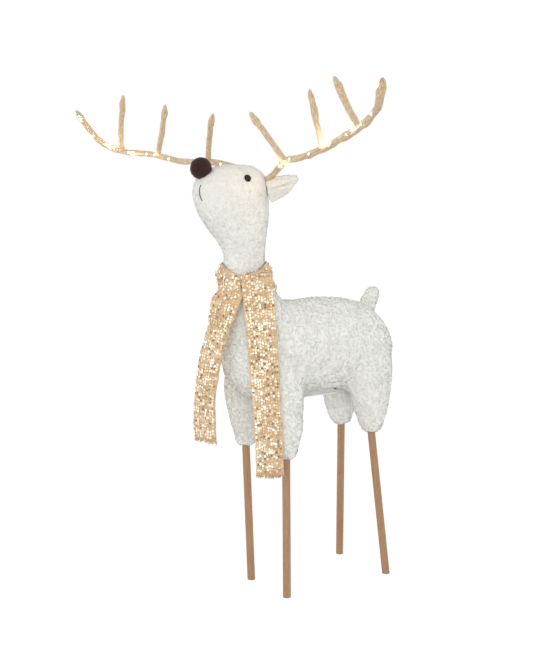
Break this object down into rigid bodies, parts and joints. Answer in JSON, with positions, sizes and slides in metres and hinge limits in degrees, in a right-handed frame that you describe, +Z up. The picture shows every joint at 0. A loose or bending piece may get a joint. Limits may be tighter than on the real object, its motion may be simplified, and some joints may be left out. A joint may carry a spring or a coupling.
{
  "type": "light up yard reindeer",
  "caption": "Free-standing fleece reindeer decoration with dowel legs, wrapped wire antlers carrying small lamps, a scarf, and a battery box under the belly.",
  "frame": {"origin": "on the floor, under the middle of the object's bounding box", "axes": "+Z up; the nose points to -Y and the tail to +Y; +X is the deer's left, along the spread of the antlers"},
  "size_m": [0.8934, 0.4165, 0.8775],
  "materials": {
    "dowel": "satin",
    "fleece": "matte",
    "felt": "matte",
    "foam": "matte",
    "wire_steel": "satin",
    "gold_wrap": "satin",
    "copper_wire": "satin",
    "lamp": "gloss",
    "white_plastic": "matte",
    "black_plastic": "gloss",
    "flock": "matte",
    "thread": "matte",
    "sequin_knit": "satin",
    "cell": "gloss",
    "contact": "satin",
    "board": "satin",
    "cable": "satin"
  },
  "bodies": {
    "root": {"antler_frame_left": "wire_steel", "antler_frame_right": "wire_steel", "antler_sockets": "white_plastic", "antler_wrap_left": "gold_wrap", "antler_wrap_right": "gold_wrap", "battery_box": "white_plastic", "battery_cells": "cell", "battery_door_pin": "contact", "battery_lead": "cable", "circuit_board": "board", "contact_plates": "contact", "contact_springs": "contact", "ear_left": "felt", "ear_right": "felt", "eye_left": "black_plastic", "eye_right": "black_plastic", "eye_washers": "white_plastic", "haunch_cover_front_left": "fleece", "haunch_cover_front_right": "fleece", "haunch_cover_rear_left": "fleece", "haunch_cover_rear_right": "fleece", "haunch_filling_front_left": "foam", "haunch_filling_front_right": "foam", "haunch_filling_rear_left": "foam", "haunch_filling_rear_right": "foam", "head_core": "foam", "head_cover": "felt", "led_beads_left": "lamp", "led_beads_right": "lamp", "led_splice": "white_plastic", "led_wire_left": "copper_wire", "led_wire_right": "copper_wire", "leg_front_left": "dowel", "leg_front_right": "dowel", "leg_rear_left": "dowel", "leg_rear_right": "dowel", "mouth_stitch": "thread", "neck_rod": "dowel", "nose": "flock", "nose_peg": "dowel", "scarf": "sequin_knit", "switch_body": "black_plastic", "tail": "fleece", "tine_wrap_left_1": "gold_wrap", "tine_wrap_left_2": "gold_wrap", "tine_wrap_left_3": "gold_wrap", "tine_wrap_right_1": "gold_wrap", "tine_wrap_right_2": "gold_wrap", "tine_wrap_right_3": "gold_wrap", "torso_core": "foam", "torso_cover": "fleece"},
    "door": {"battery_door": "white_plastic", "battery_door_screw": "contact"},
    "slider": {"switch_slider": "black_plastic"}
  },
  "joints": [
    {"name": "battery_door", "type": "hinge", "parent": "root", "child": "door", "pos_m": [0, 0.0646, 0.347], "axis": [1, 0, 0], "range_deg": [0, 95]},
    {"name": "switch_slider", "type": "slide", "parent": "root", "child": "slider", "axis": [1, 0, 0], "range_m": [-0.003, 0.003]}
  ]
}
